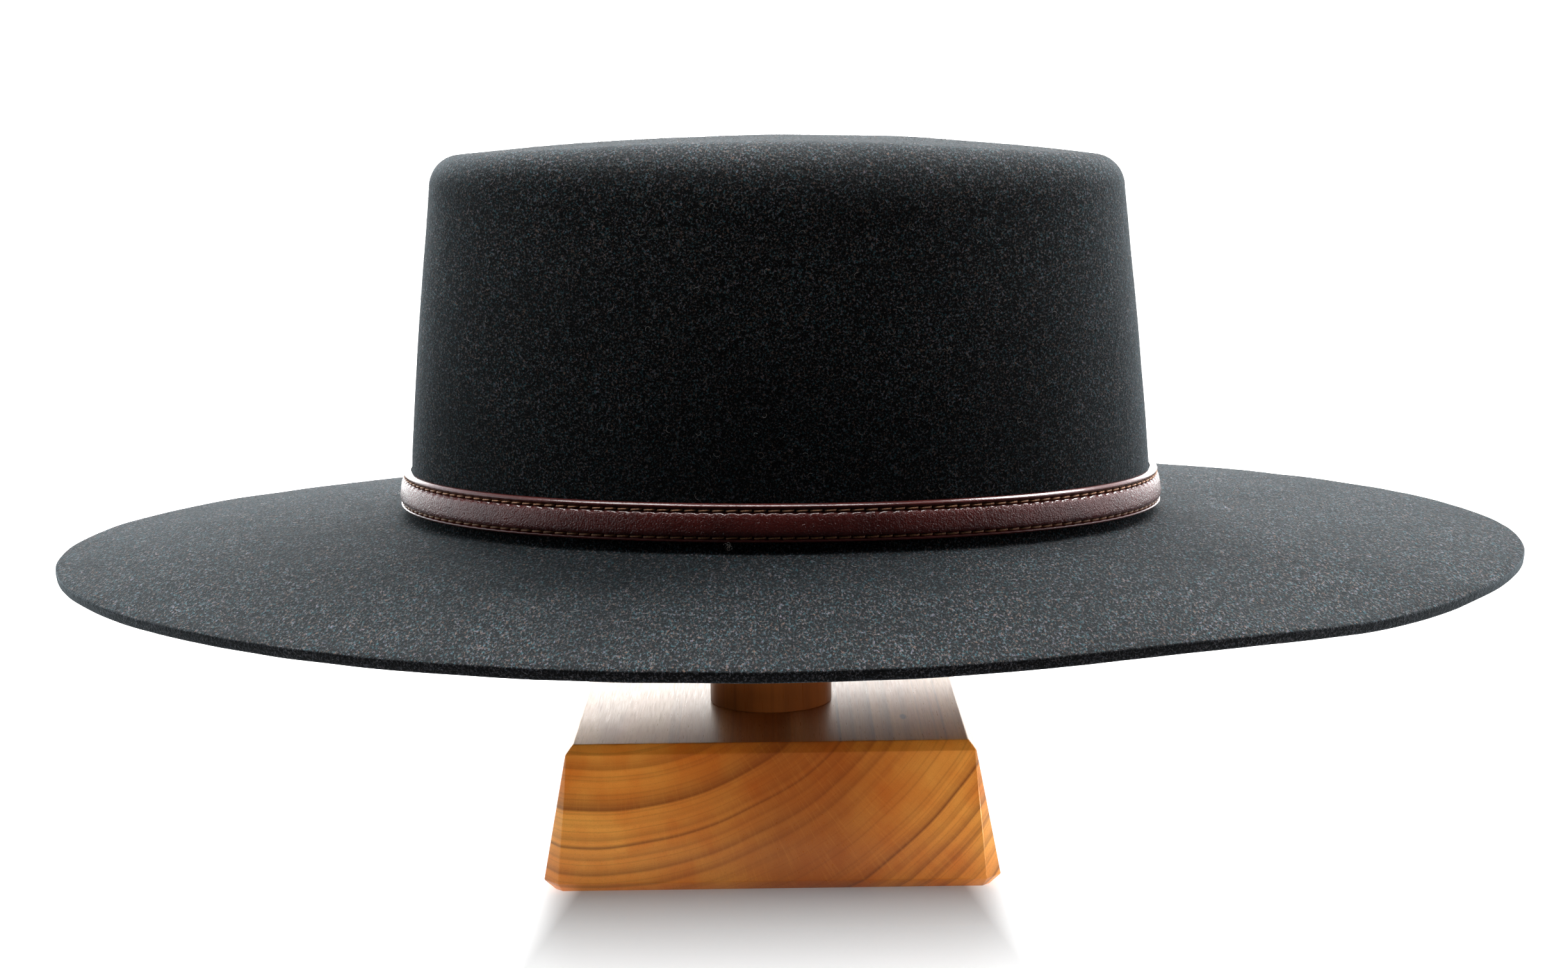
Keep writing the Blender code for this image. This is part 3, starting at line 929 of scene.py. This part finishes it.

# The stage is a white table that glows like a lamp, its glow dimmed to a painted shadow round the
# block, in a white light tent that is open and dark toward the camera.
# A big soft light hangs above and behind the hat, a small one at its left and a narrow strip over
# its front; two weak low lights reach the block under the brim.
CAMERA_PLACE = (-0.0023, -0.6906, 0.2044)
CAMERA_PITCH = 8.482
CAMERA_YAW = 0.076
CAMERA_ROLL = -0.75
PHOTO_WIDTH = 2448
FOCAL_PIXELS = 3841.3
SENSOR_WIDTH = 36.0
TABLE_HALF = 6.0
TABLE_FRONT_Y = -0.30
# A painted shadow: the table's glow drops in a box round the block.
PAINTED_SHADOW_HALF_X = (0.050, 0.062)
PAINTED_SHADOW_HALF_Y = (0.048, 0.125)
FLOOR_GLOW_IN_PAINTED_SHADOW = 0.04
FLOOR_GLOW_OPEN = 0.90
HAT_MIDDLE = (0.0, 0.0, 0.10)
BLOCK_FRONT = (0.0, -0.04, 0.015)
SOFT_LIGHTS = (
    {
        "name": "top_light",
        "place": (0.20, 0.58, 1.12),
        "aim": HAT_MIDDLE,
        "size": (1.6, 0.5),
        "spread": 180,
        "power": 64.0,
    },
    {
        "name": "left_patch",
        "place": (-0.52, 0.04, 1.20),
        "aim": HAT_MIDDLE,
        "size": (0.25, 0.45),
        "spread": 180,
        "power": 4.0,
    },
    {
        "name": "front_strip",
        "place": (0.0, -0.14, 1.20),
        "aim": HAT_MIDDLE,
        "size": (0.7, 0.12),
        "spread": 180,
        "power": 5.0,
    },
    {
        "name": "low_left",
        "place": (-0.40, -0.36, 0.05),
        "aim": BLOCK_FRONT,
        "size": (0.1, 0.04),
        "spread": 16,
        "power": 0.0030,
    },
    {
        "name": "low_right",
        "place": (0.40, -0.36, 0.05),
        "aim": BLOCK_FRONT,
        "size": (0.1, 0.04),
        "spread": 16,
        "power": 0.0160,
    },
)
WALL_SEEN = (3.0, 3.0, 3.0)
WALL_BACKDROP = (5.0, 5.0, 5.0)
WALL_LEFT = (1.25, 1.42, 1.50)
WALL_RIGHT = (1.65, 1.65, 1.72)
WALL_IN_FRONT = (0.02, 0.02, 0.02)
CEILING = (0.5, 0.5, 0.5)
# Where in the tent each part begins and ends, as the height or depth of the direction to it.
CEILING_FROM = (0.45, 0.75)
FRONT_OPENING = (-0.36, -0.18)
BACKDROP_DEPTH = (0.70, 0.80)
BACKDROP_TOP = (0.36, 0.46)
SIDE_TO_SIDE = (-0.6, 0.6)
TABLE_COLOURS = ((0.49, 0.48, 0.47), (0.51, 0.50, 0.49))
NEAR_CLIP = 0.01

bm = bmesh.new()
bmesh.ops.create_grid(bm, x_segments=1, y_segments=1, size=TABLE_HALF)
bmesh.ops.translate(bm, verts=bm.verts, vec=(0.0, TABLE_HALF + TABLE_FRONT_Y, 0.0))
floor_mesh = bpy.data.meshes.new("white_table")
bm.to_mesh(floor_mesh)
bm.free()
table_top, tree, shader = start_material(
    "glowing_white_table_top", Roughness=0.5, Specular_IOR_Level=0.1, Emission_Color=(1.0, 1.0, 1.0, 1.0)
)
place = add_node(tree, "ShaderNodeTexCoord").outputs["Object"]
from_block = calculate_vector(tree, "SUBTRACT", place, BLOCK_MIDDLE).outputs[0]
from_block = calculate_vector(tree, "ABSOLUTE", from_block).outputs[0]
from_block = add_node(tree, "ShaderNodeSeparateXYZ", {"Vector": from_block})
# Painted shadow: the glow is low in a box round the block and high beyond it.
beside_block = between(tree, from_block.outputs["X"], *PAINTED_SHADOW_HALF_X)
before_block = between(tree, from_block.outputs["Y"], *PAINTED_SHADOW_HALF_Y)
open_floor = calculate(tree, "MAXIMUM", beside_block, before_block)
glow = between(tree, open_floor, 0.0, 1.0, FLOOR_GLOW_IN_PAINTED_SHADOW, FLOOR_GLOW_OPEN)
fill_socket(tree, shader.inputs["Emission Strength"], glow)
evenness = blotches(tree, place, 3.0, 2.0).outputs[0]
fill_socket(tree, shader.inputs["Base Color"], mix_colours(tree, evenness, *TABLE_COLOURS))
floor_mesh.materials.append(table_top)
floor = bpy.data.objects.new("white_table", floor_mesh)
bpy.context.collection.objects.link(floor)

for soft in SOFT_LIGHTS:
    light = bpy.data.lights.new(soft["name"], "AREA")
    light.shape = "RECTANGLE"
    light.size, light.size_y = soft["size"]
    light.spread = radians(soft["spread"])
    light.energy = soft["power"]
    lamp = bpy.data.objects.new(soft["name"], light)
    lamp.location = soft["place"]
    lamp.rotation_euler = (Vector(soft["aim"]) - lamp.location).to_track_quat("-Z", "Y").to_euler()
    lamp.visible_camera = False
    bpy.context.collection.objects.link(lamp)

studio = bpy.data.worlds.new("white_studio")
studio.use_nodes = True
tree = studio.node_tree
direction = add_node(tree, "ShaderNodeTexCoord").outputs["Generated"]
axes = add_node(tree, "ShaderNodeSeparateXYZ", {"Vector": direction})
beside = between(tree, axes.outputs["X"], *SIDE_TO_SIDE)
beside = mix_colours(tree, beside, WALL_LEFT, WALL_RIGHT)
beside = mix_colours(tree, between(tree, axes.outputs["Z"], *CEILING_FROM), beside, CEILING)
walls = between(tree, axes.outputs["Y"], *FRONT_OPENING)
walls = mix_colours(tree, walls, WALL_IN_FRONT, beside)
backdrop = between(tree, axes.outputs["Y"], *BACKDROP_DEPTH)
under_top = between(tree, axes.outputs["Z"], *BACKDROP_TOP, 1.0, 0.0)
backdrop = calculate(tree, "MULTIPLY", backdrop, under_top)
walls = mix_colours(tree, backdrop, walls, WALL_BACKDROP)
seen = add_node(tree, "ShaderNodeLightPath").outputs["Is Camera Ray"]
walls = mix_colours(tree, seen, walls, WALL_SEEN)
fill_socket(tree, tree.nodes["Background"].inputs["Color"], walls)
bpy.context.scene.world = studio
bpy.context.scene.view_settings.view_transform = "Standard"

camera_data = bpy.data.cameras.new("photo_camera")
camera_data.sensor_width = SENSOR_WIDTH
camera_data.lens = SENSOR_WIDTH * FOCAL_PIXELS / PHOTO_WIDTH
camera_data.clip_start = NEAR_CLIP
camera = bpy.data.objects.new("photo_camera", camera_data)
camera.matrix_world = (
    Matrix.Translation(CAMERA_PLACE)
    @ Matrix.Rotation(-radians(CAMERA_YAW), 4, "Z")
    @ Matrix.Rotation(radians(90.0 - CAMERA_PITCH), 4, "X")
    @ Matrix.Rotation(radians(CAMERA_ROLL), 4, "Z")
)
bpy.context.collection.objects.link(camera)
bpy.context.scene.camera = camera
